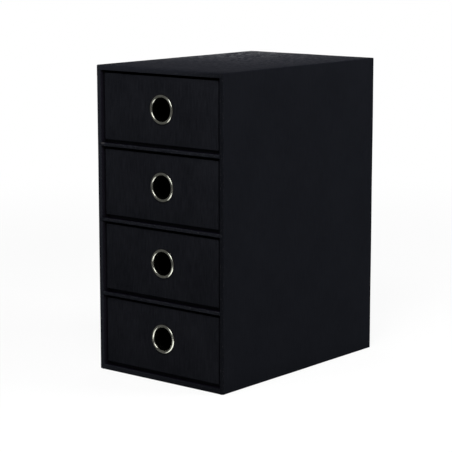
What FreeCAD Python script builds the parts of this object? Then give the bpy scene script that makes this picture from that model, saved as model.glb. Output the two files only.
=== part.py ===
import FreeCAD, Part
import os

import Sketcher

# Desk box with stacked drawers, made from greyboard covered in book cloth.
# Frame: millimetres, +Z up, front faces -Y, origin at the middle of the footprint on the desk.

doc = FreeCAD.newDocument("drawer_stack")

# ---------------------------------------------------------------- driving dimensions

dimensions = [
    ("case_width", 166, "outside of the case"),
    ("case_depth", 250, "outside of the case"),
    ("case_height", 315, "outside of the case"),
    ("cloth", 0.4, "book cloth or lining paper, with its glue"),
    ("wall_board", 4.2, "greyboard of the case walls"),
    ("shelf_board", 2.7, "greyboard of the shelves, the back and the tray bases"),
    ("face_board", 2.6, "greyboard of a drawer face"),
    ("tray_board", 2.0, "greyboard of the tray walls"),
    ("turn_in", 15, "cloth turned over an edge of the case"),
    ("tray_turn_in", 12, "cloth turned over the rim of a tray"),
    ("sheet_inset", 2.5, "outer edge of the case to the edge of the sheet glued over the turn-ins"),
    ("outer_round", 0.9, "cloth pulled over an outer edge"),
    ("mouth_round", 0.35, "cloth folded into the mouth of the case"),
    ("shelf_round", 1.2, "cloth pulled over the front edge of a shelf"),
    ("recess", 2.5, "front of the case to the drawer faces"),
    ("side_gap", 3.5, "drawer to the case wall"),
    ("top_gap", 2.9, "drawer face to what is above it"),
    ("rear_gap", 2.6, "closed drawer to the back of the case"),
    ("rim_drop", 2.0, "tray rim below the top of its face"),
    ("ring_right", 2.2, "ring to the middle of the face"),
    ("ring_rise", 38.4, "middle of the ring above the floor of its bay"),
    ("ring_radius", 15.0, "outside of the ring's bead"),
    ("bore_radius", 11.8, "finger hole through the ring"),
    ("ring_metal", 0.5, "plated steel of the ring's barrel"),
    ("barrel_gap", 0.2, "ring barrel to the punched boards"),
]
shelf_count = 3
bay_count = shelf_count + 1
bead_flats = 5

sheet = doc.addObject("Spreadsheet::Sheet", "sizes")
for row, (alias, value, note) in enumerate(dimensions, start=1):
    sheet.set(f"A{row}", alias)
    sheet.set(f"B{row}", str(value))
    sheet.set(f"C{row}", note)
    sheet.setAlias(f"B{row}", alias)
doc.recompute()


def size(alias):
    return f"sizes.{alias}"


def value_of(expression):
    return float(sheet.evalExpression(expression))


# Places worked out from the dimensions, each one an expression on the sheet.
cloth = size("cloth")
half_width = "(sizes.case_width / 2)"
half_depth = "(sizes.case_depth / 2)"
height = size("case_height")
wall = "(sizes.wall_board + 2 * sizes.cloth)"
base_thick = f"({wall} + sizes.cloth)"
shelf_thick = "(sizes.shelf_board + 2 * sizes.cloth)"
mouth = f"({half_width} - {wall})"
ceiling = f"({height} - {wall})"
bay_height = f"(({ceiling} - {base_thick} - {shelf_count} * {shelf_thick}) / {bay_count})"
rear_boards = f"({half_depth} - 2 * {cloth})"
back_face = f"({rear_boards} - sizes.shelf_board)"
bay_rear = f"({back_face} - {cloth})"
turn_end = f"(-{half_depth} + sizes.turn_in)"
frame_inside = f"({half_width} - sizes.turn_in - {cloth})"

# The same for a drawer, from the middle of its face's front plane and the floor of its bay.
face_half = f"({mouth} - sizes.side_gap)"
face_low = shelf_thick
face_high = f"({bay_height} - sizes.top_gap)"
face_thick = f"(sizes.face_board + 2 * {cloth})"
rim = f"({face_high} - sizes.rim_drop)"
tray_end = f"({half_depth} - sizes.recess + {bay_rear} - sizes.rear_gap)"
tray_wall = f"(sizes.tray_board + 2 * {cloth})"
base_top = f"({cloth} + sizes.shelf_board)"
turned = f"({rim} - sizes.tray_turn_in)"
lining_face = f"({face_thick} + {tray_wall})"
hole_radius = "(sizes.bore_radius + sizes.ring_metal + sizes.barrel_gap)"
face_plane = f"(-{half_depth} + sizes.recess)"


def bay_floor(number):
    """Top of the floor of a bay, counted from the top of the case."""
    return f"({base_thick} + {bay_count - number} * ({bay_height} + {shelf_thick}))"


# ---------------------------------------------------------------- modelling helpers

nodes = []


def inner(low_or_high, step):
    """An expression moved by another one."""
    return f"({low_or_high} + {step})"


def board(label, across, along, up, home=("0", "0", "0")):
    """A plain rectangle of board between pairs of planes, moved to its home."""
    piece = doc.addObject("Part::Box", label)
    piece.Label = label
    for side, axis, (low, high), start in zip(
        ("Length", "Width", "Height"), "xyz", (across, along, up), home
    ):
        piece.setExpression(side, f"({high}) - ({low})")
        piece.setExpression(f"Placement.Base.{axis}", f"({low}) + ({start})")
    nodes.append(piece)
    return piece


def new_body(label, home=("0", "0", "0")):
    body = doc.addObject("PartDesign::Body", label)
    body.Label = label
    for axis, start in zip("xyz", home):
        body.setExpression(f"Placement.Base.{axis}", start)
    nodes.append(body)
    return body


def origin_feature(body, role):
    return [part for part in body.Origin.OriginFeatures if part.Role == role][0]


def sketch_on(body, plane, level="0"):
    """A sketch on one of the body's planes, at a level along the axis that plane faces."""
    sketch = body.newObject("Sketcher::SketchObject", f"{body.Name}_sketch")
    sketch.AttachmentSupport = (origin_feature(body, plane), [""])
    sketch.MapMode = "FlatFace"
    towards = "-" if plane == "XZ_Plane" else ""
    sketch.setExpression("AttachmentOffset.Base.z", f"{towards}({level})")
    return sketch


def hold(sketch, kind, element, point, expression):
    """Fix one coordinate of a point from the sketch's origin."""
    constraint = Sketcher.Constraint(kind, -1, 1, element, point, value_of(expression))
    sketch.setExpression(f"Constraints[{sketch.addConstraint(constraint)}]", expression)


def hold_radius(sketch, element, expression):
    constraint = Sketcher.Constraint("Radius", element, value_of(expression))
    sketch.setExpression(f"Constraints[{sketch.addConstraint(constraint)}]", expression)


def draw_outline(sketch, corners):
    """A closed outline of straight lines through corners given as expressions."""
    points = [FreeCAD.Vector(value_of(x), value_of(y), 0) for x, y in corners]
    lines = []
    for start, end in zip(points, points[1:] + points[:1]):
        lines.append(sketch.addGeometry(Part.LineSegment(start, end)))
    for line, following in zip(lines, lines[1:] + lines[:1]):
        sketch.addConstraint(Sketcher.Constraint("Coincident", line, 2, following, 1))
    for line, (x, y) in zip(lines, corners):
        hold(sketch, "DistanceX", line, 1, x)
        hold(sketch, "DistanceY", line, 1, y)


def draw_rectangle(sketch, across, up):
    (left, right), (low, high) = across, up
    draw_outline(sketch, [(left, low), (right, low), (right, high), (left, high)])


def draw_circle(sketch, x, y, radius):
    centre = FreeCAD.Vector(value_of(x), value_of(y), 0)
    up = FreeCAD.Vector(0, 0, 1)
    circle = sketch.addGeometry(Part.Circle(centre, up, value_of(radius)))
    hold_radius(sketch, circle, radius)
    hold(sketch, "DistanceX", circle, 3, x)
    hold(sketch, "DistanceY", circle, 3, y)


def both(half):
    """The pair of planes at equal distances left and right of the middle."""
    return f"-({half})", half


def arch(half, top, low):
    """Corners of an upside-down U between two nested arches, open at the bottom."""
    (half_out, half_in), (top_out, top_in) = half, top
    return [
        (f"-{half_out}", low), (f"-{half_out}", top_out), (half_out, top_out), (half_out, low),
        (half_in, low), (half_in, top_in), (f"-{half_in}", top_in), (f"-{half_in}", low),
    ]


def pad(body, sketch, length):
    """Add material from the sketch towards the positive side of its plane's axis."""
    feature = body.newObject("PartDesign::Pad", f"{body.Name}_pad")
    feature.Profile = sketch
    feature.setExpression("Length", length)
    feature.Reversed = "XZ" in sketch.AttachmentSupport[0][0].Role
    return feature


def pocket(body, sketch, length):
    """Cut material from the sketch towards the positive side of its plane's axis."""
    doc.recompute()
    before = body.Tip.Shape.Volume
    feature = body.newObject("PartDesign::Pocket", f"{body.Name}_pocket")
    feature.Profile = sketch
    feature.setExpression("Length", length)
    feature.Reversed = "XZ" not in sketch.AttachmentSupport[0][0].Role
    doc.recompute()
    if not feature.Shape.Volume < before - 1e-6:
        raise RuntimeError(f"{feature.Label} cuts nothing")
    return feature


def round_edges(body, radius, wanted):
    """Fillet those edges of the body whose box of coordinates the test accepts."""
    doc.recompute()
    base = body.Tip
    names = []
    for number, edge in enumerate(base.Shape.Edges, start=1):
        if wanted(edge.BoundBox):
            names.append(f"Edge{number}")
    feature = body.newObject("PartDesign::Fillet", f"{body.Name}_round")
    feature.Base = (base, names)
    feature.setExpression("Radius", radius)
    return feature


def at(box, axis, expression):
    """Whether a whole edge lies in the plane of an axis at an expression's value."""
    place = value_of(expression)
    low, high = getattr(box, f"{axis}Min"), getattr(box, f"{axis}Max")
    return abs(low - place) < 1e-3 and abs(high - place) < 1e-3


def at_either(box, axis, expression):
    return at(box, axis, expression) or at(box, axis, f"-{expression}")


# ---------------------------------------------------------------- case

front = f"-{half_depth}"
front_boards = f"(-{half_depth} + {cloth})"
board_half = f"({half_width} - {cloth})"
wall_inside = f"({mouth} + {cloth})"
base_low = f"(2 * {cloth})"
base_high = f"({base_thick} - {cloth})"
top_low = f"({ceiling} + {cloth})"
top_high = f"({height} - {cloth})"


def case_boards():
    depth_span = (front_boards, rear_boards)
    wall_span = (base_high, top_low)
    board("left_board", (f"-{board_half}", f"-{wall_inside}"), depth_span, wall_span)
    board("right_board", (wall_inside, board_half), depth_span, wall_span)
    board("top_board", both(board_half), depth_span, (top_low, top_high))
    board("bottom_board", both(board_half), depth_span, (base_low, base_high))
    board("back_board", both(wall_inside), (back_face, rear_boards), wall_span)


def case_cover():
    """One sheet over the left wall, the top and the right wall, turned in all round."""
    body = new_body("case_cover")
    rear_frame_end = f"({half_depth} - {cloth})"

    skin = sketch_on(body, "XZ_Plane", front)
    draw_outline(skin, arch((half_width, board_half), (height, top_high), cloth))
    pad(body, skin, f"{half_depth} + {rear_frame_end}")

    front_edge = sketch_on(body, "XZ_Plane", front)
    draw_outline(front_edge, arch((half_width, mouth), (height, ceiling), cloth))
    pad(body, front_edge, cloth)

    mouth_strip = sketch_on(body, "XZ_Plane", front)
    draw_outline(mouth_strip, arch((wall_inside, mouth), (top_low, ceiling), base_high))
    pad(body, mouth_strip, size("turn_in"))

    rear_frame = sketch_on(body, "XZ_Plane", rear_boards)
    frame_top = f"({height} - sizes.turn_in - {cloth})"
    draw_outline(rear_frame, arch((half_width, frame_inside), (height, frame_top), cloth))
    pad(body, rear_frame, cloth)

    foot_strips = sketch_on(body, "XY_Plane", cloth)
    for across in (f"-{half_width}", f"-{frame_inside}"), (frame_inside, half_width):
        draw_rectangle(foot_strips, across, (front_boards, rear_frame_end))
    pad(body, foot_strips, cloth)

    def outer(box):
        upright = at_either(box, "X", half_width) and at(box, "Y", front)
        top_edge = at(box, "Z", height) and not at(box, "Y", rear_frame_end)
        return upright or top_edge

    def folded_in(box):
        at_side = at_either(box, "X", mouth) and box.ZLength > box.YLength
        return at(box, "Y", front) and (at_side or at(box, "Z", ceiling))

    round_edges(body, size("outer_round"), outer)
    round_edges(body, size("mouth_round"), folded_in)


def base_cover():
    """The sheet under the case, wrapped over the front edge of its bottom and laid as its floor."""
    body = new_body("base_cover")
    underside = sketch_on(body, "XY_Plane")
    under_half = f"({half_width} - sizes.sheet_inset)"
    under_rear = f"({half_depth} - sizes.sheet_inset)"
    draw_rectangle(underside, both(under_half), (front, under_rear))
    pad(body, underside, cloth)

    between_strips = sketch_on(body, "XY_Plane", cloth)
    draw_rectangle(between_strips, both(frame_inside), (front, under_rear))
    pad(body, between_strips, cloth)

    front_edge = sketch_on(body, "XZ_Plane", front)
    draw_rectangle(front_edge, both(mouth), ("0.0001", base_thick))
    pad(body, front_edge, cloth)

    floor = sketch_on(body, "XY_Plane", base_high)
    draw_rectangle(floor, both(mouth), (front, bay_rear))
    pad(body, floor, cloth)

    round_edges(
        body, size("mouth_round"), lambda box: at(box, "Y", front) and at(box, "Z", base_thick)
    )


def back_cover():
    """The sheet over the back, which also fills the space inside the turned-in cloth."""
    body = new_body("back_cover")
    outside = sketch_on(body, "XZ_Plane", f"{half_depth} - {cloth}")
    sheet_half = f"({half_width} - sizes.sheet_inset)"
    draw_rectangle(outside, both(sheet_half), (cloth, f"({height} - sizes.sheet_inset)"))
    pad(body, outside, cloth)
    inside = sketch_on(body, "XZ_Plane", rear_boards)
    frame_top = f"({height} - sizes.turn_in - {cloth})"
    draw_rectangle(inside, both(frame_inside), (cloth, frame_top))
    pad(body, inside, cloth)


def linings():
    """Lining paper on the walls, the back and the ceiling, up to the turned-in cloth."""
    body = new_body("wall_lining")
    outline = sketch_on(body, "XY_Plane", base_high)
    draw_outline(outline, arch((wall_inside, mouth), (back_face, bay_rear), turn_end))
    pad(body, outline, f"{top_low} - {base_high}")
    board("ceiling_lining", both(mouth), (turn_end, bay_rear), (ceiling, top_low))


def shelf(number):
    """A shelf board with its cloth wrapped over the front edge."""
    low = f"({bay_floor(number)} - {shelf_thick})"
    home = ("0", "0", low)
    board(
        f"shelf_{number}_board", both(mouth), (front_boards, bay_rear),
        (cloth, f"({cloth} + sizes.shelf_board)"), home,
    )
    body = new_body(f"shelf_{number}_cover", home)
    profile = sketch_on(body, "YZ_Plane", f"-{mouth}")
    draw_outline(profile, [
        (bay_rear, "0.0001"), (front, "0.0001"), (front, shelf_thick), (bay_rear, shelf_thick),
        (bay_rear, base_top), (front_boards, base_top), (front_boards, cloth), (bay_rear, cloth),
    ])
    pad(body, profile, f"2 * {mouth}")
    round_edges(body, size("shelf_round"), lambda box: at(box, "Y", front) and box.XLength > 1)


# ---------------------------------------------------------------- drawer


def face(number, home):
    """The board in front of a tray, and its cloth."""
    low, high = inner(face_low, cloth), f"({face_high} - {cloth})"
    cloth_half = f"({face_half} - {cloth})"
    hole = ("sizes.ring_right", "sizes.ring_rise", hole_radius)

    panel = new_body(f"drawer_{number}_face_board", home)
    outline = sketch_on(panel, "XZ_Plane", cloth)
    draw_rectangle(outline, both(cloth_half), (low, high))
    draw_circle(outline, *hole)
    pad(panel, outline, size("face_board"))

    cover = new_body(f"drawer_{number}_face_cover", home)
    block = sketch_on(cover, "XZ_Plane")
    draw_rectangle(block, both(face_half), (face_low, face_high))
    pad(cover, block, face_thick)
    space = sketch_on(cover, "XZ_Plane", cloth)
    draw_rectangle(space, both(cloth_half), (low, high))
    pocket(cover, space, size("face_board"))
    rear = sketch_on(cover, "XZ_Plane", f"{cloth} + sizes.face_board")
    draw_rectangle(
        rear, both(f"({face_half} - sizes.tray_turn_in)"),
        (inner(face_low, "sizes.tray_turn_in"), f"({face_high} - sizes.tray_turn_in)"),
    )
    pocket(cover, rear, cloth)
    punched = sketch_on(cover, "XZ_Plane")
    draw_circle(punched, *hole)
    pocket(cover, punched, cloth)

    def outer(box):
        straight = box.XLength < 1e-3 or box.ZLength < 1e-3
        return at(box, "Y", "0") and straight

    round_edges(cover, size("outer_round"), outer)


def tray_boards(number, home):
    """The base of a tray and the four walls that stand on it."""
    side = f"({face_half} - {cloth})"
    side_inside = f"({side} - sizes.tray_board)"
    low, high = base_top, f"({rim} - {cloth})"
    start, end = inner(face_thick, cloth), f"({tray_end} - {cloth})"
    name = f"drawer_{number}"
    board(f"{name}_base_board", both(side), (start, end), (cloth, base_top), home)
    board(f"{name}_left_board", (f"-{side}", f"-{side_inside}"), (start, end), (low, high), home)
    board(f"{name}_right_board", (side_inside, side), (start, end), (low, high), home)
    rear_span = (f"({end} - sizes.tray_board)", end)
    board(f"{name}_rear_board", both(side_inside), rear_span, (low, high), home)

    front_wall = new_body(f"{name}_front_board", home)
    outline = sketch_on(front_wall, "XZ_Plane", start)
    draw_rectangle(outline, both(side_inside), (low, high))
    draw_circle(outline, "sizes.ring_right", "sizes.ring_rise", hole_radius)
    pad(front_wall, outline, size("tray_board"))


def tray_cloth(number, home):
    """The cloth round the outside of a tray and over its rim, and the lining inside it."""
    outside = (both(face_half), (face_thick, tray_end))
    half, inside_half = f"({face_half} - {cloth})", f"({face_half} - {tray_wall})"
    start, end = inner(face_thick, cloth), f"({tray_end} - {cloth})"
    board_half_in, lining_half = f"({half} - sizes.tray_board)", inside_half
    board_start = inner(start, "sizes.tray_board")
    board_end = f"({end} - sizes.tray_board)"
    lining_start, lining_end = inner(face_thick, tray_wall), f"({tray_end} - {tray_wall})"

    cover = new_body(f"drawer_{number}_tray_cover", home)
    block = sketch_on(cover, "XY_Plane")
    draw_rectangle(block, *outside)
    pad(cover, block, rim)
    under = sketch_on(cover, "XY_Plane", cloth)
    draw_rectangle(under, both(half), (start, end))
    pocket(cover, under, size("shelf_board"))
    walls = sketch_on(cover, "XY_Plane", base_top)
    draw_rectangle(walls, both(half), (start, end))
    draw_rectangle(walls, both(board_half_in), (board_start, board_end))
    pocket(cover, walls, f"{rim} - {cloth} - {base_top}")
    well = sketch_on(cover, "XY_Plane", base_top)
    draw_rectangle(well, both(lining_half), (lining_start, lining_end))
    pocket(cover, well, f"{rim} - {base_top}")
    lined = sketch_on(cover, "XY_Plane", base_top)
    draw_rectangle(lined, both(board_half_in), (board_start, board_end))
    draw_rectangle(lined, both(lining_half), (lining_start, lining_end))
    pocket(cover, lined, f"{turned} - {base_top}")
    laps = sketch_on(cover, "XZ_Plane", face_thick)
    draw_rectangle(
        laps, both(f"({face_half} - sizes.tray_turn_in)"), ("sizes.tray_turn_in", turned)
    )
    pocket(cover, laps, cloth)

    round_edges(cover, size("outer_round"), lambda box: at(box, "Z", rim))

    lining = new_body(f"drawer_{number}_tray_lining", home)
    block = sketch_on(lining, "XY_Plane", base_top)
    draw_rectangle(block, both(board_half_in), (board_start, board_end))
    pad(lining, block, f"{turned} - {base_top}")
    well = sketch_on(lining, "XY_Plane", inner(base_top, cloth))
    draw_rectangle(well, both(lining_half), (lining_start, lining_end))
    pocket(lining, well, f"{turned} - {base_top}")
    punched = sketch_on(lining, "XZ_Plane", board_start)
    draw_circle(punched, "sizes.ring_right", "sizes.ring_rise", hole_radius)
    pocket(lining, punched, cloth)


def ring_section():
    """Half section of the pressed ring: a rolled bead and the barrel behind it.

    The bead is drawn as a few flats, which keeps four round rings light.
    """
    bore = size("bore_radius")
    bead = f"((sizes.ring_radius - {bore}) / 2)"
    corners = []
    for flat in range(bead_flats + 1):
        turned_by = 180 * flat / bead_flats
        across = f"({bore} + {bead} + {bead} * cos({turned_by}))"
        corners.append((across, f"(-{bead} * sin({turned_by}))"))
    barrel = inner(bore, size("ring_metal"))
    return corners + [(bore, lining_face), (barrel, lining_face), (barrel, "0")]


def finger_ring(number, home):
    home = (inner(home[0], "sizes.ring_right"), home[1], inner(home[2], "sizes.ring_rise"))
    ring = new_body(f"drawer_{number}_ring", home)
    section = sketch_on(ring, "XY_Plane")
    draw_outline(section, ring_section())
    turn = ring.newObject("PartDesign::Revolution", f"{ring.Name}_turn")
    turn.Profile = section
    turn.ReferenceAxis = (origin_feature(ring, "Y_Axis"), [""])
    turn.Angle = 360


def drawer(number):
    home = ("0", face_plane, bay_floor(number))
    face(number, home)
    tray_boards(number, home)
    tray_cloth(number, home)
    finger_ring(number, home)


# ---------------------------------------------------------------- build, check and write

case_boards()
case_cover()
base_cover()
back_cover()
linings()
for shelf_number in range(1, shelf_count + 1):
    shelf(shelf_number)
for drawer_number in range(1, bay_count + 1):
    drawer(drawer_number)
doc.recompute()

for item in doc.Objects:
    if "Invalid" in item.State or "Error" in item.State:
        raise RuntimeError(f"{item.Label} failed: {item.State}")
for node in nodes:
    if node.Shape.isNull() or not node.Shape.isValid():
        raise RuntimeError(f"{node.Label} has no valid shape")
    if len(node.Shape.Solids) != 1:
        raise RuntimeError(f"{node.Label} is {len(node.Shape.Solids)} solids")

os.makedirs("parts", exist_ok=True)
for node in nodes:
    node.Shape.exportStep(f"parts/{node.Label}.step")
    box = node.Shape.BoundBox
    print(f"{node.Label}: {box.XLength:.1f} x {box.YLength:.1f} x {box.ZLength:.1f} mm")
print(len(nodes), "sub-parts written")
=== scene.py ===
import math

import bmesh
import bpy
from mathutils import Matrix, Vector, noise


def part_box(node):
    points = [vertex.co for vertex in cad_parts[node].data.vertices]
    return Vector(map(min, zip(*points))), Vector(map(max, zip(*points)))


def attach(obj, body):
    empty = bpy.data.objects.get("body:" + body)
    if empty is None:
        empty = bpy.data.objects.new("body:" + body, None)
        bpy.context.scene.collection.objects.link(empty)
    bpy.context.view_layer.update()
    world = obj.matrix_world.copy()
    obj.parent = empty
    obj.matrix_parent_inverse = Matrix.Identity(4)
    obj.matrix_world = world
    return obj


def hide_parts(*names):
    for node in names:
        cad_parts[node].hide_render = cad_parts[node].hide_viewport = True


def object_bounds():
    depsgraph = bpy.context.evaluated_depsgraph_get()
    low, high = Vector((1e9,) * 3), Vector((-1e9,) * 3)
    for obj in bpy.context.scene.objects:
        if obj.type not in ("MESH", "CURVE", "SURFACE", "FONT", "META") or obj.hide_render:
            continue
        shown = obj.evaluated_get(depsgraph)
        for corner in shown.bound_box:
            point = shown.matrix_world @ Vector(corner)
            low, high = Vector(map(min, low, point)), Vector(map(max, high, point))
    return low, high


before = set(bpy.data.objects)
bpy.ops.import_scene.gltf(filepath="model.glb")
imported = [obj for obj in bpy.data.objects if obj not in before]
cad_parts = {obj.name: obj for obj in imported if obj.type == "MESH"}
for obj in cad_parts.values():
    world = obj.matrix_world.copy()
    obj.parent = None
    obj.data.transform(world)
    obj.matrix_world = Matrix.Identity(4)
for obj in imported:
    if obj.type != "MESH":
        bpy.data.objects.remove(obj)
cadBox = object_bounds()
print("frame loaded,", len(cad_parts), "nodes")

bayCount = 4
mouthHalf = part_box("shelf_1_cover")[1].x  # half the width of the case's mouth
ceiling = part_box("ceiling_lining")[0].z
white = (1, 1, 1, 1)


# shaders

class Wire:
    # a shader socket that can be added, scaled and compared like a number
    def __init__(self, tree, socket=None):
        self.tree, self.socket = tree, socket

    def node(self, kind, settings=None, values=None, output=0):
        item = self.tree.nodes.new("ShaderNode" + kind)
        for key, value in (settings or {}).items():
            setattr(item, key, value)
        for key, value in (values or {}).items():
            if isinstance(value, Wire):
                self.tree.links.new(value.socket, item.inputs[key])
            else:
                item.inputs[key].default_value = value
        return Wire(self.tree, item.outputs[output]) if item.outputs else None

    def out(self, name):
        return Wire(self.tree, self.socket.node.outputs[name])

    def math(self, operation, first, second=0.0):
        return self.node("Math", {"operation": operation}, {0: first, 1: second})

    def sine(self):
        return self.math("SINE", self)

    def top(self, other):
        return self.math("MAXIMUM", self, other)

    def least(self, other):
        return self.math("MINIMUM", self, other)

    def __add__(self, other):
        return self.math("ADD", self, other)

    def __radd__(self, other):
        return self.math("ADD", other, self)

    def __sub__(self, other):
        return self.math("SUBTRACT", self, other)

    def __rsub__(self, other):
        return self.math("SUBTRACT", other, self)

    def __mul__(self, other):
        return self.math("MULTIPLY", self, other)

    def __rmul__(self, other):
        return self.math("MULTIPLY", other, self)

    def __truediv__(self, other):
        return self.math("DIVIDE", self, other)

    def __rtruediv__(self, other):
        return self.math("DIVIDE", other, self)

    def __abs__(self):
        return self.math("ABSOLUTE", self)

    def ramp(self, low, high):  # 0 below low, 1 above high, soft between
        return self.node("MapRange", {"interpolation_type": "SMOOTHSTEP"}, {0: self, 1: low, 2: high})

    def mix(self, first, second):  # the first colour where this value is 0, the second where it is 1
        return self.node("Mix", {"data_type": "RGBA"}, {0: self, 6: first, 7: second}, output=2)

    def axes(self):
        split = self.node("SeparateXYZ", None, {0: self})
        return split, split.out("Y"), split.out("Z")

    def point(self, x, y, z=0.0):
        return self.node("CombineXYZ", None, {0: x, 1: y, 2: z})

    def cloud(self, place, scale, detail=2.0, roughness=0.5, twist=0.0):
        values = {"Vector": place, "Scale": scale, "Detail": detail}
        return self.node("TexNoise", None, {**values, "Roughness": roughness, "Distortion": twist})

    def bump(self, height, distance, strength=1.0):
        return self.node("Bump", None, {"Strength": strength, "Distance": distance, "Height": height})

    def ownPlace(self):
        return self.node("TexCoord", None, None, "Object")


def newMaterial(name):
    material = bpy.data.materials.new(name)
    material.use_nodes = True
    material.node_tree.nodes.clear()
    return material, Wire(material.node_tree)


def shadeWith(wire, values):
    surface = wire.node("BsdfPrincipled", None, values)
    wire.node("OutputMaterial", None, {"Surface": surface})


def paler(colour):
    # what wear and light leave of a black
    return tuple(1.9 * part for part in colour[:3]) + (1,)


clothLook = {  # black linen embossed cloth
    "threadPitch": 0.00062,
    "threadDrift": 1.4,  # how far the threads wander, in pitches
    "driftScale": 160,
    "slubWidth": 0.0011,  # uneven thicker threads
    "slubLength": 0.016,
    "fibreScale": (3600, 420),  # across and along the slubs
    "crossScale": (110, 1500),
    "patchScale": (22, 14),
    "swellSize": 0.009,  # low waves left by the glue
    "swellStretch": 1.3,
    "swells": 3.0,
    "heights": {"slubs": 0.62, "weave": 0.22, "fibres": 0.16, "crossing": 0.2},
    "tones": {"slubs": 0.55, "fibres": 0.15, "patches": 0.3, "crossing": 0.12},
    "toneRange": (0.38, 0.74),
    "relief": 0.00009,
    "roughness": 0.84,
    "slubGloss": 0.2,
    "fibreGrip": 0.08,
    "ior": 1.035,  # low, so it only shines at a grazing angle
    "sheen": 0.0085,
    "sheenRoughness": 0.3,
    "sheenTint": (0.60, 0.62, 1.0, 1),
    "scuffScale": 560.0,
    "scuffRange": (0.63, 0.69),
    "scuffColour": (0.045, 0.043, 0.046, 1),
}
# wear of the case's cloth, with painted highlights, painted shade and a painted sheen
caseWearAndLight = {
    "frontDepth": (0.0002, 0.0008),  # from the front, where its edges turn into the sides
    "stripBias": 0.5,  # the front paler towards the left and darker towards the right
    "leftStrip": (0.02, 0.10),  # parts of the width
    "topStrip": (-0.0008, 0.0004),  # above the ceiling
    "topStripEnd": (0.6, 1.1),
    # how much paler the painted highlight on the left and top front edges makes them
    "fade": 0.28,
    "rubAndHighlight": 0.6,  # how much paler the edges are, partly rubbed and partly a painted highlight
    "rubAndHighlightSlubs": (0.35, 0.65),
    "rubAndHighlightEnd": (0.8, 1.0),  # less rubbed and less painted highlight at the right
    "rubAndHighlightEndLoss": 0.7,
    "outerRubAndHighlight": (0.0002, 0.0016),  # from the outer edges
    "innerRubAndHighlight": (0.0001, 0.0006),  # from the edges of the mouth
    "scuff": 0.3,
    "topDepth": (0.0010, 0.0004),  # below the top
    "topShade": 0.22,  # painted shade: how much darker the top is
    "speckSize": (0.0018, 0.0075),  # of the streaks where hands have smoothed the top
    "driftSize": (0.0125, 0.024),
    "speckShare": 0.85,
    "driftShare": 0.15,
    "streakRange": (0.45, 0.58),
    "handledAndSheenRange": (-0.15, 0.9),  # from front to back
    "handledAndSheenLeft": 0.9,
    "handledAndSheenLoss": 0.62,  # towards the right
    "frontPolishAndSheen": 0.1,
    "polish": 0.54,  # how much smoother the handled top is
    # a dusty, bluish painted sheen on the top
    "dustAndSheen": 0.08,
    "dustAndSheenColour": (0.060, 0.066, 0.100, 1),
}
# scuffs on the shelf cloth, with painted glints and a pale end mark
shelfWearAndGlints = {
    "noseDepth": (0.0006, 0.0011),  # how far back the front edge reaches
    # painted glints along the front edge
    "glintSize": (0.005, 0.0022),
    "glintRange": (0.40, 0.70),
    "glint": 0.35,
    "scuff": 0.6,
    "paleEndStart": (-0.0006, 0.0006),  # a pale mark at the left end of the top shelf's front edge
    "paleEndStop": (0.0034, 0.0056),
    "paleEndDepth": (-0.0016, -0.0006),
}


def blend(layers, shares):
    first, *others = [layers[key] * share for key, share in shares.items()]
    return sum(others, first)


def makeScuffs(wire, place):
    return wire.cloud(place, clothLook["scuffScale"], 1.0).ramp(*clothLook["scuffRange"])


def findEdges(x, y, z, low, high):
    # how far a point is from the case's outer edges, and from the edges of its mouth
    fromSide = (high.x - abs(x)).top(0.0)
    fromFront = (y - low.y).top(0.0).least((high.y - y).top(0.0))
    fromTop = (high.z - z).top(0.0)
    outer = fromSide.top(fromFront).least(fromFront.top(fromTop)).least(fromSide.top(fromTop))
    mouthSide = abs(abs(x) - mouthHalf).top(y - low.y)
    mouthTop = abs(z - ceiling).top(y - low.y).top(abs(x) - mouthHalf)
    return outer, mouthSide.least(mouthTop)


def polishAndSheenOnTop(wire, x, y, toRight, low, high):
    # where hands have smoothed it and where it is dusty and painted with a sheen, more towards the back
    # and the left, and the streaks in which it is smoother
    wide, long = caseWearAndLight["speckSize"]
    specks = wire.cloud(wire.point(x / wide, y / long, 0.7), 1.0, 1.0, 0.6)
    wide, long = caseWearAndLight["driftSize"]
    drifts = wire.cloud(wire.point(x / wide, y / long, 0.4), 1.0, 2.0, 0.6, 0.2)
    share, rest = caseWearAndLight["speckShare"], caseWearAndLight["driftShare"]
    streaks = (specks * share + drifts * rest).ramp(*caseWearAndLight["streakRange"]) * share + rest
    toBack = (y - low.y) / (high.y - low.y)
    across = caseWearAndLight["handledAndSheenLeft"] - toRight * caseWearAndLight["handledAndSheenLoss"]
    return toBack.ramp(*caseWearAndLight["handledAndSheenRange"]) * across + caseWearAndLight["frontPolishAndSheen"], streaks


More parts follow.
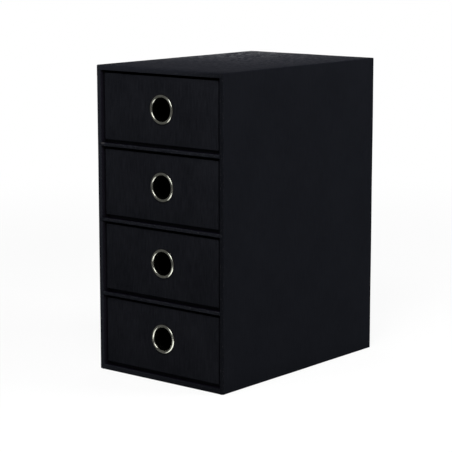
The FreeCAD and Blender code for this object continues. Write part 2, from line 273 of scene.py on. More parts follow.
def markCaseWearAndLight(wire, slubs, tone, dark, light):
    # paler towards the left of its front; painted highlights on its left and top front edges; edges
    # partly rubbed and partly painted highlight; its top smoothed, darkened by painted shade and given a
    # dusty painted sheen
    low, high = (Vector(corner) for corner in cadBox)
    place = wire.ownPlace()
    x, y, z = place.axes()
    pale = paler(light)
    onFront = 1 - (y - low.y).ramp(*caseWearAndLight["frontDepth"])
    toRight = (x + high.x) / (2 * high.x)
    # the front paler towards the left and darker towards the right
    colour = (tone - onFront * (x / high.x) * caseWearAndLight["stripBias"]).mix(dark, light)
    # painted highlight along the left wall's front edge and along the top front edge, dying out towards
    # the right
    leftStrip = 1 - toRight.ramp(*caseWearAndLight["leftStrip"])
    topStrip = (z - ceiling).ramp(*caseWearAndLight["topStrip"]) * (1 - toRight.ramp(*caseWearAndLight["topStripEnd"]))
    colour = (onFront * leftStrip.top(topStrip) * caseWearAndLight["fade"]).mix(colour, pale)

    # edges paler, partly rubbed and partly a painted highlight, less so at the right
    rubbedAndLit = slubs.ramp(*caseWearAndLight["rubAndHighlightSlubs"]) * caseWearAndLight["rubAndHighlight"]
    rubbedAndLit = rubbedAndLit * (1 - toRight.ramp(*caseWearAndLight["rubAndHighlightEnd"]) * caseWearAndLight["rubAndHighlightEndLoss"])
    outer, inner = findEdges(x, y, z, low, high)
    colour = ((1 - outer.ramp(*caseWearAndLight["outerRubAndHighlight"])) * rubbedAndLit).mix(colour, pale)
    colour = ((1 - inner.ramp(*caseWearAndLight["innerRubAndHighlight"])) * rubbedAndLit).mix(colour, pale)
    marks = onFront * makeScuffs(wire, place) * caseWearAndLight["scuff"]
    colour = marks.mix(colour, clothLook["scuffColour"])

    topStart, topEnd = (high.z - depth for depth in caseWearAndLight["topDepth"])
    onTop = z.ramp(topStart, topEnd)
    handledAndSheen, streaks = polishAndSheenOnTop(wire, x, y, toRight, low, high)
    handledAndSheen = onTop * handledAndSheen
    # painted shade: the whole top darker
    colour = (onTop * caseWearAndLight["topShade"]).mix(colour, (0, 0, 0, 1))
    # a dusty, bluish painted sheen, more towards the back and the left
    colour = (handledAndSheen * caseWearAndLight["dustAndSheen"]).mix(colour, caseWearAndLight["dustAndSheenColour"])
    return colour, handledAndSheen * streaks * caseWearAndLight["polish"]


def markShelfWearAndGlints(wire, slubs, tone, dark, light):
    # painted glints and scuffs along its front edge, and a pale mark at one end
    low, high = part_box("shelf_1_cover")
    place = wire.ownPlace()
    x, y, z = place.axes()
    onNose = 1 - (y - low.y).ramp(*shelfWearAndGlints["noseDepth"])
    # painted glints: paler patches along the front edge
    wide, tall = shelfWearAndGlints["glintSize"]
    noseGlints = wire.cloud(wire.point(x / wide, z / tall), 1.0).ramp(*shelfWearAndGlints["glintRange"])
    colour = (onNose * noseGlints * shelfWearAndGlints["glint"]).mix(tone.mix(dark, light), paler(light))
    # a pale mark at the left end of the top shelf's front edge
    fromEnd = x - low.x
    paleEnd = fromEnd.ramp(*shelfWearAndGlints["paleEndStart"]) * (1 - fromEnd.ramp(*shelfWearAndGlints["paleEndStop"]))
    paleEnd = paleEnd * (z - high.z).ramp(*shelfWearAndGlints["paleEndDepth"])
    marks = onNose * (makeScuffs(wire, place) * shelfWearAndGlints["scuff"]).top(paleEnd)
    return marks.mix(colour, clothLook["scuffColour"]), None


def leaveNew(wire, slubs, tone, dark, light):
    return tone.mix(dark, light), None


def bookCloth(name, dark, light, relief=1.0, surfaceMarks=leaveNew):
    # its UV map counts metres across and along the slubs
    material, wire = newMaterial(name)
    across, along = wire.node("UVMap", {"uv_map": "threads"}).axes()[:2]

    def layer(scales, *settings):
        return wire.cloud(wire.point(across * scales[0], along * scales[1]), 1.0, *settings)

    pitch = clothLook["threadPitch"]
    drift = layer((clothLook["driftScale"], clothLook["driftScale"])) - 0.5
    wander = drift * pitch * clothLook["threadDrift"]
    warp = ((across + wander) * (2 * math.pi / pitch)).sine()
    weft = ((along - wander) * (2 * math.pi / pitch)).sine()
    swellSize = clothLook["swellSize"]
    slubPlace = wire.point(across / clothLook["slubWidth"], along / clothLook["slubLength"])
    swellPlace = wire.point(across / swellSize, along / (swellSize * clothLook["swellStretch"]))
    swells = wire.cloud(swellPlace, 1.0, 3.0, 0.6, 0.3)
    layers = {
        "slubs": wire.cloud(slubPlace, 1.0, 3.0, 0.62, 0.25),
        "weave": warp * weft * 0.5 + 0.5,
        "fibres": layer(clothLook["fibreScale"], 2.0, 0.6),
        "crossing": layer(clothLook["crossScale"]),
        "patches": layer(clothLook["patchScale"], 3.0, 0.55),
    }

    height = blend(layers, clothLook["heights"]) + swells * (clothLook["swells"] * relief)
    tone = blend(layers, clothLook["tones"]).ramp(*clothLook["toneRange"])
    tone = tone * relief + (1 - relief) * 0.5
    colour, polish = surfaceMarks(wire, layers["slubs"], tone, dark, light)
    gloss = layers["slubs"] * clothLook["slubGloss"]
    grip = layers["fibres"] * clothLook["fibreGrip"]
    roughness = clothLook["roughness"] - gloss + grip
    if polish:
        roughness = roughness - polish
    shadeWith(wire, {
        "Base Color": colour,
        "Roughness": roughness,
        "IOR": clothLook["ior"],
        "Sheen Weight": clothLook["sheen"],
        "Sheen Roughness": clothLook["sheenRoughness"],
        "Sheen Tint": clothLook["sheenTint"],
        "Normal": wire.bump(height, clothLook["relief"]),
    })
    return material


paperLook = {  # black lining paper with a faint fibre and the ripple of its glue
    "fibreScale": 900.0,
    "rippleScale": 34.0,
    "toneRange": (0.35, 0.7),
    "paintedLightDepth": (0.0008, 0.0058),  # how far back from the front the painted light reaches
    "roughness": 0.72,
    "fibreGrip": 0.12,
    "fibreHeight": 0.25,
    "relief": 0.00012,
    "bump": 0.7,
}


def liningPaper(name, dark, light, specular=0.1, edge=None):
    material, wire = newMaterial(name)
    place = wire.ownPlace()
    fibre = wire.cloud(place, paperLook["fibreScale"], 4.0, 0.65)
    ripple = wire.cloud(place, paperLook["rippleScale"], 2.0, 0.5, 0.4)
    colour = (fibre * 0.5 + ripple * 0.5).ramp(*paperLook["toneRange"]).mix(dark, light)
    # painted light: paler near the given front edge, darker deeper in
    if edge:
        paintedLight = 1 - (place.axes()[1] - edge).ramp(*paperLook["paintedLightDepth"])
        colour = paintedLight.mix(colour, paler(light))
    height = fibre * paperLook["fibreHeight"] + ripple
    shadeWith(wire, {
        "Base Color": colour,
        "Roughness": paperLook["roughness"] + fibre * paperLook["fibreGrip"],
        "Specular IOR Level": specular,
        "Normal": wire.bump(height, paperLook["relief"], paperLook["bump"]),
    })
    return material


boardLook = {  # pressed grey pulp with darker flecks
    "pulpScale": 420.0,
    "fleckScale": 1500.0,
    "fleckRange": (0.62, 0.7),
    "layerScale": 90.0,
    "shares": {"pulp": 0.7, "layers": 0.3},
    "toneRange": (0.3, 0.7),
    "dark": (0.19, 0.175, 0.155, 1),
    "light": (0.32, 0.3, 0.27, 1),
    "flecks": 0.6,
    "fleckColour": (0.09, 0.08, 0.07, 1),
    "roughness": 0.9,
    "specular": 0.25,
    "relief": 0.0001,
    "bump": 0.6,
}


def greyboard(name):
    material, wire = newMaterial(name)
    place = wire.ownPlace()
    pulp = wire.cloud(place, boardLook["pulpScale"], 5.0, 0.7)
    flecks = wire.cloud(place, boardLook["fleckScale"]).ramp(*boardLook["fleckRange"])
    layers = wire.cloud(place, boardLook["layerScale"], 2.0, 0.5, 1.5)
    tone = blend({"pulp": pulp, "layers": layers}, boardLook["shares"]).ramp(*boardLook["toneRange"])
    colour = tone.mix(boardLook["dark"], boardLook["light"])
    shadeWith(wire, {
        "Base Color": (flecks * boardLook["flecks"]).mix(colour, boardLook["fleckColour"]),
        "Roughness": boardLook["roughness"],
        "Specular IOR Level": boardLook["specular"],
        "Normal": wire.bump(pulp, boardLook["relief"], boardLook["bump"]),
    })
    return material


platingLook = {  # a little uneven from the press, with hairline scratches
    "hazeScale": 260.0,
    "hazeRange": (0.3, 0.7),
    "hairScale": (5200, 700, 900),
    "hairTurn": (0.3, 0.5, 0.2),
    "dark": (0.34, 0.345, 0.295, 1),
    "light": (0.42, 0.42, 0.37, 1),
    "roughness": 0.13,
    "hazeRoughness": 0.08,
    "hairRoughness": 0.05,
    "hairHeight": 0.3,
    "relief": 0.00003,
    "bump": 0.35,
}


def nickel(name):
    material, wire = newMaterial(name)
    place = wire.ownPlace()
    haze = wire.cloud(place, platingLook["hazeScale"], 3.0, 0.55)
    turned = {"Vector": place, "Scale": platingLook["hairScale"], "Rotation": platingLook["hairTurn"]}
    hairs = wire.cloud(wire.node("Mapping", None, turned), 1.0)
    unevenness = haze * platingLook["hazeRoughness"]
    height = haze + hairs * platingLook["hairHeight"]
    shadeWith(wire, {
        "Base Color": haze.ramp(*platingLook["hazeRange"]).mix(platingLook["dark"], platingLook["light"]),
        "Metallic": 1.0,
        "Roughness": platingLook["roughness"] + unevenness + hairs * platingLook["hairRoughness"],
        "Normal": wire.bump(height, platingLook["relief"], platingLook["bump"]),
    })
    return material


blacks = {  # dark and light
    "case": ((0.0048, 0.0053, 0.0070, 1), (0.0098, 0.0106, 0.0136, 1)),
    "face": ((0.0046, 0.0050, 0.0065, 1), (0.0102, 0.0108, 0.0136, 1)),
    "paper": ((0.0040, 0.0034, 0.0062, 1), (0.0070, 0.0062, 0.0102, 1)),
    # painted shade: the same lining paper, darker on the walls of the bays
    "wall": ((0.0028, 0.0023, 0.0044, 1), (0.0050, 0.0044, 0.0074, 1)),
    # painted shade: darker still on the floors of the bays
    "floor": ((0.0016, 0.0012, 0.0027, 1), (0.0030, 0.0024, 0.0046, 1)),
}
caseMaterial = bookCloth("caseCloth", *blacks["case"], relief=0.45, surfaceMarks=markCaseWearAndLight)
shelfMaterial = bookCloth("shelfCloth", *blacks["case"], surfaceMarks=markShelfWearAndGlints)
drawerMaterial = bookCloth("drawerCloth", *blacks["face"])
paperMaterial = liningPaper("liningPaper", *blacks["paper"])
# the lining paper again with painted shade, for the walls and floors of the bays
shadedWallMaterial = liningPaper("shadedWallPaper", *blacks["wall"], edge=cadBox[0][1])
shadedFloorMaterial = liningPaper("shadedFloorPaper", *blacks["floor"], specular=0.01)
boardMaterial = greyboard("greyboard")
ringMaterial = nickel("ringMetal")
print("materials made")


# modelling

xAxis, yAxis, zAxis = Vector((1, 0, 0)), Vector((0, 1, 0)), Vector((0, 0, 1))
slack = 2e-5  # how near a place a point counts as on it
hair = 1e-5  # closer than any two points that stay apart


def freshStart():
    if bpy.context.mode != "OBJECT":
        bpy.ops.object.mode_set(mode="OBJECT")
    bpy.ops.object.select_all(action="DESELECT")


def addBlock(name, low, high):
    # a cube at its real size and place, open for shaping
    freshStart()
    low, high = Vector(low), Vector(high)
    bpy.ops.mesh.primitive_cube_add(size=1, location=(low + high) / 2, scale=high - low)
    piece = bpy.context.object
    piece.name = piece.data.name = name
    bpy.ops.object.transform_apply(location=True, rotation=True, scale=True)
    bpy.ops.object.mode_set(mode="EDIT")
    return piece


def near(value, place):
    return abs(value - place) < slack


def pick(kind, test, facing=None):
    # selects the faces, edges or points whose corners all pass the test
    bpy.ops.mesh.select_mode(type=kind)
    bpy.ops.mesh.select_all(action="DESELECT")
    shape = bmesh.from_edit_mesh(bpy.context.edit_object.data)
    items = {"VERT": shape.verts, "EDGE": shape.edges, "FACE": shape.faces}[kind]
    for item in items:
        corners = [item] if kind == "VERT" else item.verts
        fits = all(test(corner.co) for corner in corners)
        if fits and (not facing or item.normal.dot(Vector(facing)) > 0.9):
            item.select_set(True)
    shape.select_flush_mode()
    bmesh.update_edit_mesh(bpy.context.edit_object.data)


def remove(test, facing=None):
    pick("FACE", test, facing)
    bpy.ops.mesh.delete(type="FACE")


def shift(test, move):
    pick("VERT", test)
    bpy.ops.transform.translate(value=move)


def cutAcross(axis, places):
    # rows of points for the cloth to give at
    for place in places:
        bpy.ops.mesh.select_all(action="SELECT")
        bpy.ops.mesh.bisect(plane_co=axis * place, plane_no=axis)


def spaced(start, end, count):
    return [start + (end - start) * step / count for step in range(1, count)]


def pullEdge(move=(0, 0, 0), scale=None, centre=(0, 0, 0)):
    # carries the picked edges on as a new strip
    bpy.ops.mesh.extrude_edges_move(TRANSFORM_OT_translate={"value": move})
    if scale:
        bpy.ops.transform.resize(value=scale, center_override=centre)


def roundEdges(test, radius, segments):
    pick("EDGE", test)
    bpy.ops.mesh.bevel(offset=radius, segments=segments, profile=0.5, affect="EDGES", clamp_overlap=True)


def onTwo(first, second, third):
    # on two of three planes at least, so on an edge of the block
    return first + second + third >= 2


def modify(piece, kind, **settings):
    freshStart()
    bpy.context.view_layer.objects.active = piece
    piece.select_set(True)
    modifier = piece.modifiers.new(kind.title(), kind)
    for key, value in settings.items():
        setattr(modifier, key, value)
    bpy.ops.object.modifier_apply(modifier=modifier.name)


def thicken(piece, thickness):
    modify(piece, "SOLIDIFY", thickness=thickness, offset=-1, use_even_offset=True)


def ruffle(piece, amount, size, seed):
    # hand-laid cloth is never quite flat; unseeded, these waves would come from the clock
    freshStart()
    noise.seed_set(seed)
    for point in piece.data.vertices:
        point.co += noise.noise_vector(point.co / size) * amount


def smooth(piece, angle=35):
    freshStart()
    bpy.context.view_layer.objects.active = piece
    piece.select_set(True)
    bpy.ops.object.shade_smooth_by_angle(angle=math.radians(angle))


def layThreads(piece, path):
    # the weave turns the corners with the cloth
    layer = piece.data.uv_layers.get("threads") or piece.data.uv_layers.new(name="threads")
    points = piece.data.vertices
    for face in piece.data.polygons:
        for corner, index in zip(face.loop_indices, face.vertices):
            layer.data[corner].uv = path(points[index].co, face.normal)


def leads(normal):
    sizes = [abs(part) for part in normal]
    return "xyz"[sizes.index(max(sizes))]


def uprightThreads(point, normal):
    # slubs run up the fronts and sides; each way a face looks has its own place in the weave
    places = {"y": (point.x, point.z), "x": (point.y + 0.3, point.z), "z": (point.x, point.y + 0.7)}
    return places[leads(normal)]


def sidewaysThreads(point, normal):
    # slubs run from left to right
    return {"y": (point.z, point.x), "z": (point.y, point.x), "x": (point.z, point.y)}[leads(normal)]


def dress(piece, material, body, nodes):
    piece.data.materials.clear()
    piece.data.materials.append(material)
    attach(piece, body)
    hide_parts(*nodes)


# case

case = {
    "thickness": 0.0004,
    "turnIn": 0.015,
    "outerRound": 0.0009,
    "mouthRound": 0.0004,
    "rows": 16,
    "columns": 12,
    "topColumns": 8,
    "waviness": 0.00012,
    "waveSize": 0.045,
    "waveSeed": 7,
}
shelf = {
    "noseRound": 0.0008,
    "overlap": 0.0011,  # cloth turned over onto the top
    "cuts": 40,
    "frontRows": (0.004, 0.03),  # from the front edge
    "waviness": 0.00016,
    "waveReach": 0.004,
    "waveScale": 95,
    "waveRow": 3.7,  # each shelf takes a row of its own from the noise
    "dentScale": 260,
    "dentRow": 5.1,
    "sunk": 0.00003,  # clear of the tray that slides over it
    "earReach": 0.0026,  # where its cloth laps onto the front of a wall
    "earLap": 0.0012,
    "earThick": 0.00022,
    "earInset": 0.00015,
    "earSunk": 0.0003,
    "earRound": 0.00018,
    "earCorner": 0.001,
    "earClip": (0.0005, 0.0003),  # cut off its upper corner
    "ears": {1: (-1,), 2: (-1, 1), 3: (-1,)},
}
caseLow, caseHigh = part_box("case_cover")
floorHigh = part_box("base_cover")[1].z
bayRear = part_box("shelf_1_cover")[1].y


def wrapThreads(point, normal):
    # slubs run up one wall, over the top and down the other
    side = 1 if point.x > 0 else -1
    down = side * (caseHigh.x + caseHigh.z - point.z)
    lead = leads(normal)
    if lead == "x":
        return point.y, down
    if lead == "z":
        return point.y, point.x
    if point.z > ceiling and abs(point.x) < mouthHalf + (point.z - ceiling):
        return point.z + 0.5, point.x
    return abs(point.x) + 0.5, down


def makeCaseCloth():
    # one sheet round the left wall, the top and the right wall, turned in all round
    low, high = caseLow, caseHigh
    piece = addBlock("caseClothWrap", low, high)
    remove(lambda p: near(p.y, low.y), (0, -1, 0))
    remove(lambda p: near(p.y, high.y), (0, 1, 0))
    remove(lambda p: near(p.z, low.z), (0, 0, -1))
    cutAcross(zAxis, spaced(low.z, high.z, case["rows"]))
    cutAcross(yAxis, spaced(low.y, high.y, case["columns"]))
    cutAcross(xAxis, spaced(low.x, high.x, case["topColumns"]))

    pick("EDGE", lambda p: near(p.y, low.y))  # round the front edges and into the mouth
    upScale = (ceiling - low.z) / (high.z - low.z)
    pullEdge(scale=(mouthHalf / high.x, 1, upScale), centre=(0, low.y, low.z))
    pullEdge(move=(0, case["turnIn"], 0))

    pick("EDGE", lambda p: near(p.y, high.y))  # flat onto the back
    turned = case["turnIn"]
    pullEdge(
        scale=((high.x - turned) / high.x, 1, (high.z - turned - low.z) / (high.z - low.z)),
        centre=(0, high.y, low.z),
    )
    pick("EDGE", lambda p: near(p.z, low.z) and near(abs(p.x), high.x))  # under the walls
    pullEdge(scale=((high.x - turned) / high.x, 1, 1), centre=(0, 0, low.z))

    def outer(p):
        onEnd = near(p.y, low.y) or near(p.y, high.y)
        return onTwo(near(abs(p.x), high.x), near(p.z, high.z), onEnd)

    def foot(p):
        return near(abs(p.x), high.x) and near(p.z, low.z)

    def mouth(p):
        return near(p.y, low.y) and (near(abs(p.x), mouthHalf) or near(p.z, ceiling))

    roundEdges(lambda p: outer(p) or foot(p), case["outerRound"], 3)
    roundEdges(mouth, case["mouthRound"], 2)
    ruffle(piece, case["waviness"], case["waveSize"], case["waveSeed"])
    thicken(piece, case["thickness"])
    smooth(piece)
    layThreads(piece, wrapThreads)
    dress(piece, caseMaterial, "case", ["case_cover"])


base = {
    "inset": 0.0025,  # how far the sheet stops short of the sides and back
    "columns": 24,
    "rows": 12,
    "floorRound": 0.0005,
    "footRound": 0.0006,
    "margin": 0.0001,  # beside the mouth, for its own edge to be found
}


def makeBaseCloth():
    # the sheet under the case, up over the front of its bottom and in as the lowest floor
    front, inset = caseLow.y, base["inset"]
    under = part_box("base_cover")[0].z
    rear = caseHigh.y + case["thickness"] - inset
    overlap = front + shelf["overlap"]
    piece = addBlock("baseCloth", (-mouthHalf, front, under), (mouthHalf, rear, floorHigh))
    remove(lambda p: near(p.y, rear), (0, 1, 0))
    remove(lambda p: near(abs(p.x), mouthHalf), (1, 0, 0))
    remove(lambda p: near(abs(p.x), mouthHalf), (-1, 0, 0))
    shift(lambda p: near(p.y, rear) and near(p.z, floorHigh), (0, bayRear - rear, 0))
    cutAcross(xAxis, spaced(-mouthHalf, mouthHalf, base["columns"]))
    cutAcross(yAxis, [overlap] + spaced(front, rear, base["rows"]))
    remove(lambda p: p.y > overlap - hair and near(p.z, floorHigh), (0, 0, 1))
    pick("EDGE", lambda p: near(p.z, under) and near(abs(p.x), mouthHalf))
    pullEdge(scale=((caseHigh.x - inset) / mouthHalf, 1, 1), centre=(0, 0, under))

    def foot(p):
        return near(p.y, front) and near(p.z, under) and abs(p.x) < mouthHalf + base["margin"]

    roundEdges(lambda p: near(p.y, front) and near(p.z, floorHigh), base["floorRound"], 3)
    roundEdges(foot, base["footRound"], 3)
    thicken(piece, case["thickness"])
    smooth(piece)
    layThreads(piece, sidewaysThreads)
    dress(piece, caseMaterial, "case", ["base_cover"])
    layFloorPaper("baseFloorPaper", floorHigh, overlap, "base_cover")


back = {
    "stepInside": 0.0006,  # beside the edge of the turned-in cloth
    "stepOutside": 0.0007,
    "margin": 0.0004,
    "step": 0.00018,
    "round": 0.00012,
    "columns": 12,
    "rows": 18,
}


def makeBackCloth():
    # glued over the turned-in cloth, which shows through it as a low step
    low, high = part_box("back_cover")
    piece = addBlock("backCloth", (low.x, high.y - case["thickness"], low.z), high)
    side, top = caseHigh.x - case["turnIn"], caseHigh.z - case["turnIn"]
    inside, outside = back["stepInside"], back["stepOutside"]
    cutAcross(xAxis, [-side - outside, -side + inside, side - inside, side + outside])
    cutAcross(zAxis, [top - inside, top + outside])

    def sunk(p):
        return abs(p.x) < side - back["margin"] and p.z < top - back["margin"] and near(p.y, high.y)

    def rim(p):
        return near(p.y, high.y) and (near(abs(p.x), high.x) or near(p.z, high.z))

    shift(sunk, (0, -back["step"], 0))
    roundEdges(rim, back["round"], 2)
    cutAcross(xAxis, spaced(low.x, high.x, back["columns"]))
    cutAcross(zAxis, spaced(low.z, high.z, back["rows"]))
    smooth(piece, 12)
    layThreads(piece, uprightThreads)
    dress(piece, caseMaterial, "case", ["back_cover"])


lining = {
    "thickness": 0.0004,
    "edge": 0.0007,  # how far it stops short of the mouth
    "proud": 0.00012,  # over the turned-in cloth
    "cornerRound": 0.0012,
    "edgeRound": 0.0001,
    "sunk": 0.0003,
    "seam": 0.00005,  # between the paper and the cloth it butts against
}


def makeLinings():
    # paper up the walls and over the ceiling, over the turned-in cloth almost to its edge
    proud = lining["proud"]
    start = caseLow.y + lining["edge"]
    side, rear, under = mouthHalf - proud, bayRear - proud, ceiling - proud
    paper = addBlock("wallLining", (-side, start, floorHigh), (side, rear, ceiling))
    bpy.ops.mesh.flip_normals()
    remove(lambda p: near(p.y, start))
    remove(lambda p: near(p.z, floorHigh))
    remove(lambda p: near(p.z, ceiling))
    roundEdges(lambda p: near(p.y, rear) and near(abs(p.x), side), lining["cornerRound"], 3)
    thicken(paper, lining["thickness"])
    smooth(paper)
    dress(paper, shadedWallMaterial, "case", ["wall_lining"])

    above = ceiling + lining["sunk"]
    paper = addBlock("ceilingLining", (-mouthHalf, start, under), (mouthHalf, bayRear, above))
    roundEdges(lambda p: near(p.y, start) and near(p.z, under), lining["edgeRound"], 2)
    smooth(paper)
    dress(paper, paperMaterial, "case", ["ceiling_lining"])


def layFloorPaper(name, top, overlap, node):
    # paper on the floor of a bay, butted against the turned-over cloth
    start = overlap + lining["seam"]
    paper = addBlock(name, (-mouthHalf, start, top - lining["sunk"]), (mouthHalf, bayRear, top))
    roundEdges(lambda p: near(p.y, start) and near(p.z, top), lining["edgeRound"], 2)
    smooth(paper)
    dress(paper, shadedFloorMaterial, "case", [node])


def makeShelf(number):
    # cloth under the board, round its front edge and a little way over its top
    low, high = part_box(f"shelf_{number}_cover")
    overlap = low.y + shelf["overlap"]
    piece = addBlock(f"shelf{number}Cloth", low, high)
    remove(lambda p: near(p.y, high.y), (0, 1, 0))
    remove(lambda p: near(p.x, high.x), (1, 0, 0))
    remove(lambda p: near(p.x, low.x), (-1, 0, 0))
    cutAcross(xAxis, spaced(low.x, high.x, shelf["cuts"]))
    cutAcross(yAxis, [overlap] + [low.y + row for row in shelf["frontRows"]] + [0])
    remove(lambda p: p.y > overlap - hair, (0, 0, 1))

    def nose(p):
        return near(p.y, low.y) and (near(p.z, low.z) or near(p.z, high.z))

    roundEdges(nose, shelf["noseRound"], 4)
    bpy.ops.object.mode_set(mode="OBJECT")
    for point in piece.data.vertices:  # downward only, so that the tray passes over it
        fade = max(0.0, 1 - (point.co.y - low.y) / shelf["waveReach"])
        wave = noise.noise(Vector((point.co.x * shelf["waveScale"], number * shelf["waveRow"], 0)))
        dent = noise.noise(Vector((point.co.x * shelf["dentScale"], number * shelf["dentRow"], 4)))
        point.co.z -= fade * (shelf["waviness"] * abs(wave + 0.5 * dent) + shelf["sunk"])
        point.co.y -= fade * shelf["waviness"] * abs(dent)
    thicken(piece, case["thickness"])
    smooth(piece, 50)
    layThreads(piece, sidewaysThreads)
    dress(piece, shelfMaterial, "case", [f"shelf_{number}_cover"])
    layFloorPaper(f"shelf{number}FloorPaper", high.z, overlap, f"shelf_{number}_cover")
    for side in shelf["ears"][number]:
        makeEar(number, side, low, high)


def makeEar(number, side, low, high):
    # the end of the shelf's cloth, glued onto the wall's front edge
    inner, outer = mouthHalf - shelf["earLap"], mouthHalf + shelf["earReach"]
    ends = sorted((side * inner, side * outer))
    front, rear = low.y - shelf["earThick"], low.y + shelf["earSunk"]
    bottom, top = low.z + shelf["earInset"], high.z - shelf["earInset"]
    clipIn, clipDown = shelf["earClip"]

    def clipped(p):
        return near(p.x, side * outer) and p.z > high.z - shelf["earCorner"]

    name = f"shelf{number}Ear" + ("Right" if side > 0 else "Left")
    ear = addBlock(name, (ends[0], front, bottom), (ends[1], rear, top))
    roundEdges(lambda p: near(p.y, front), shelf["earRound"], 3)
    shift(clipped, (-side * clipIn, 0, -clipDown))
    smooth(ear, 50)
    layThreads(ear, sidewaysThreads)
    dress(ear, shelfMaterial, "case", [f"shelf_{number}_cover"])


fold = {
    "thickness": 0.00026,
    "sunk": 0.0003,  # into the cloth below
    "inset": 0.0006,  # from the outer edges
    "mouthInset": 0.0004,
    "floorInset": 0.0002,
    "tail": 0.0105,  # how far the top fold runs down the wall's front edge
    "tailWidth": 0.0011,
    "neck": 0.0003,  # either side of the ceiling, where the top fold narrows
    "tipWidth": 0.0003,
    "tipRise": 0.0004,
    "round": 0.00012,
}


def makeCornerFold(side, atTop):
    # the cloth's end, folded over at a front corner of the case
    front, rear = caseLow.y - fold["thickness"], caseLow.y + fold["sunk"]
    inner, outer = mouthHalf + fold["mouthInset"], caseHigh.x - fold["inset"]
    bottom = caseHigh.z - fold["tail"] if atTop else caseLow.z + fold["inset"]
    top = caseHigh.z - fold["inset"] if atTop else floorHigh - fold["floorInset"]
    ends = sorted((side * inner, side * outer))
    name = "caseFold" + ("Top" if atTop else "Bottom") + ("Right" if side > 0 else "Left")
    piece = addBlock(name, (ends[0], front, bottom), (ends[1], rear, top))
    if atTop:
        cutAcross(zAxis, [ceiling - fold["neck"], ceiling + fold["neck"]])
        move = (side * (outer - inner - fold["tailWidth"]), 0, 0)
        shift(lambda p: near(p.x, side * inner) and p.z < ceiling, move)
    else:
        move = (side * (outer - inner - fold["tipWidth"]), 0, fold["tipRise"])
        shift(lambda p: near(p.x, side * inner) and near(p.z, bottom), move)
    roundEdges(lambda p: near(p.y, front), fold["round"], 2)
    smooth(piece, 50)
    layThreads(piece, uprightThreads)
    dress(piece, caseMaterial, "case", ["case_cover"])


makeCaseCloth()
for side in (-1, 1):
    makeCornerFold(side, True)
    makeCornerFold(side, False)
makeBaseCloth()
makeBackCloth()
makeLinings()
for number in range(1, bayCount):
    makeShelf(number)
print("case covered")


# drawer

drawer = {
    "faceRound": 0.0006,
    "trayRound": 0.0009,
    "turnIn": 0.012,
    "faceRearRound": 0.0003,
    "trayInnerRound": 0.0004,
    "trayCornerRound": 0.0007,
    "clothThickness": 0.0004,
    "wall": 0.0028,
    "rimMargin": 0.0005,
    "holeRadius": 0.0125,
    "holeSides": 72,
    "holeDepth": 0.02,
}
trayLining = {
    "thickness": 0.0004,
    "proud": 0.0001,
    "lap": 0.0015,  # over the turned-in cloth
    "endReach": 0.004,
    "floorRound": 0.0007,
    "cornerRound": 0.0006,
}
ring = {
    "beadRadius": 0.0134,
    "beadTube": 0.0016,
    "beadSides": 36,
    "metal": 0.0004,
    "turns": 96,
    "proud": 0.0001,  # behind the lining, before it is rolled
    "rollRadius": 0.0008,
    "rollSteps": 7,
}
faceLow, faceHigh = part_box("drawer_1_face_cover")
trayLow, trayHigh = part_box("drawer_1_tray_cover")
ringLow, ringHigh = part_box("drawer_1_ring")
ringMiddle = (ringLow + ringHigh) / 2


def punch(piece):
    # the finger hole through the front
    freshStart()
    bpy.ops.mesh.primitive_cylinder_add(
        vertices=drawer["holeSides"], radius=drawer["holeRadius"], depth=drawer["holeDepth"],
        location=(ringMiddle.x, faceHigh.y, ringMiddle.z), rotation=(math.pi / 2, 0, 0),
    )
    cutter = bpy.context.object
    modify(piece, "BOOLEAN", operation="DIFFERENCE", object=cutter, solver="EXACT")
    bpy.data.objects.remove(cutter)


def makeFaceCloth():
    piece = addBlock("drawer1FaceCloth", faceLow, faceHigh)

    def outer(p):
        onEnd = near(p.z, faceLow.z) or near(p.z, faceHigh.z)
        return onTwo(near(abs(p.x), faceHigh.x), onEnd, near(p.y, faceLow.y))

    roundEdges(outer, drawer["faceRound"], 4)
    roundEdges(lambda p: near(p.y, faceHigh.y), drawer["faceRearRound"], 2)
    punch(piece)
    smooth(piece)
    return piece


def makeTrayCloth():
    # round the outside of the tray, over its rim and down inside
    piece = addBlock("drawer1TrayCloth", trayLow, trayHigh)
    remove(lambda p: near(p.z, trayHigh.z), (0, 0, 1))
    wall = drawer["wall"]
    middle = (trayLow.y + trayHigh.y) / 2
    half = (trayHigh.y - trayLow.y) / 2
    pick("EDGE", lambda p: near(p.z, trayHigh.z))
    rimScale = ((trayHigh.x - wall) / trayHigh.x, (half - wall) / half, 1)
    pullEdge(scale=rimScale, centre=(0, middle, trayHigh.z))
    pullEdge(move=(0, 0, -drawer["turnIn"]))

    def onSide(p):
        return near(abs(p.x), trayHigh.x)

    def onEnd(p):
        return near(abs(p.y - middle), half)

    def innerRim(p):
        inSide = abs(p.x) < trayHigh.x - wall + slack
        inEnd = abs(p.y - middle) < half - wall + slack
        return near(p.z, trayHigh.z) and inSide and inEnd

    def corner(p):
        return (onSide(p) and onEnd(p) and p.z < trayHigh.z - drawer["rimMargin"]) or near(p.z, trayLow.z)

    roundEdges(lambda p: near(p.z, trayHigh.z) and (onSide(p) or onEnd(p)), drawer["trayRound"], 3)
    roundEdges(innerRim, drawer["trayInnerRound"], 2)
    roundEdges(corner, drawer["trayCornerRound"], 3)
    thicken(piece, drawer["clothThickness"])
    punch(piece)
    smooth(piece)
    return piece


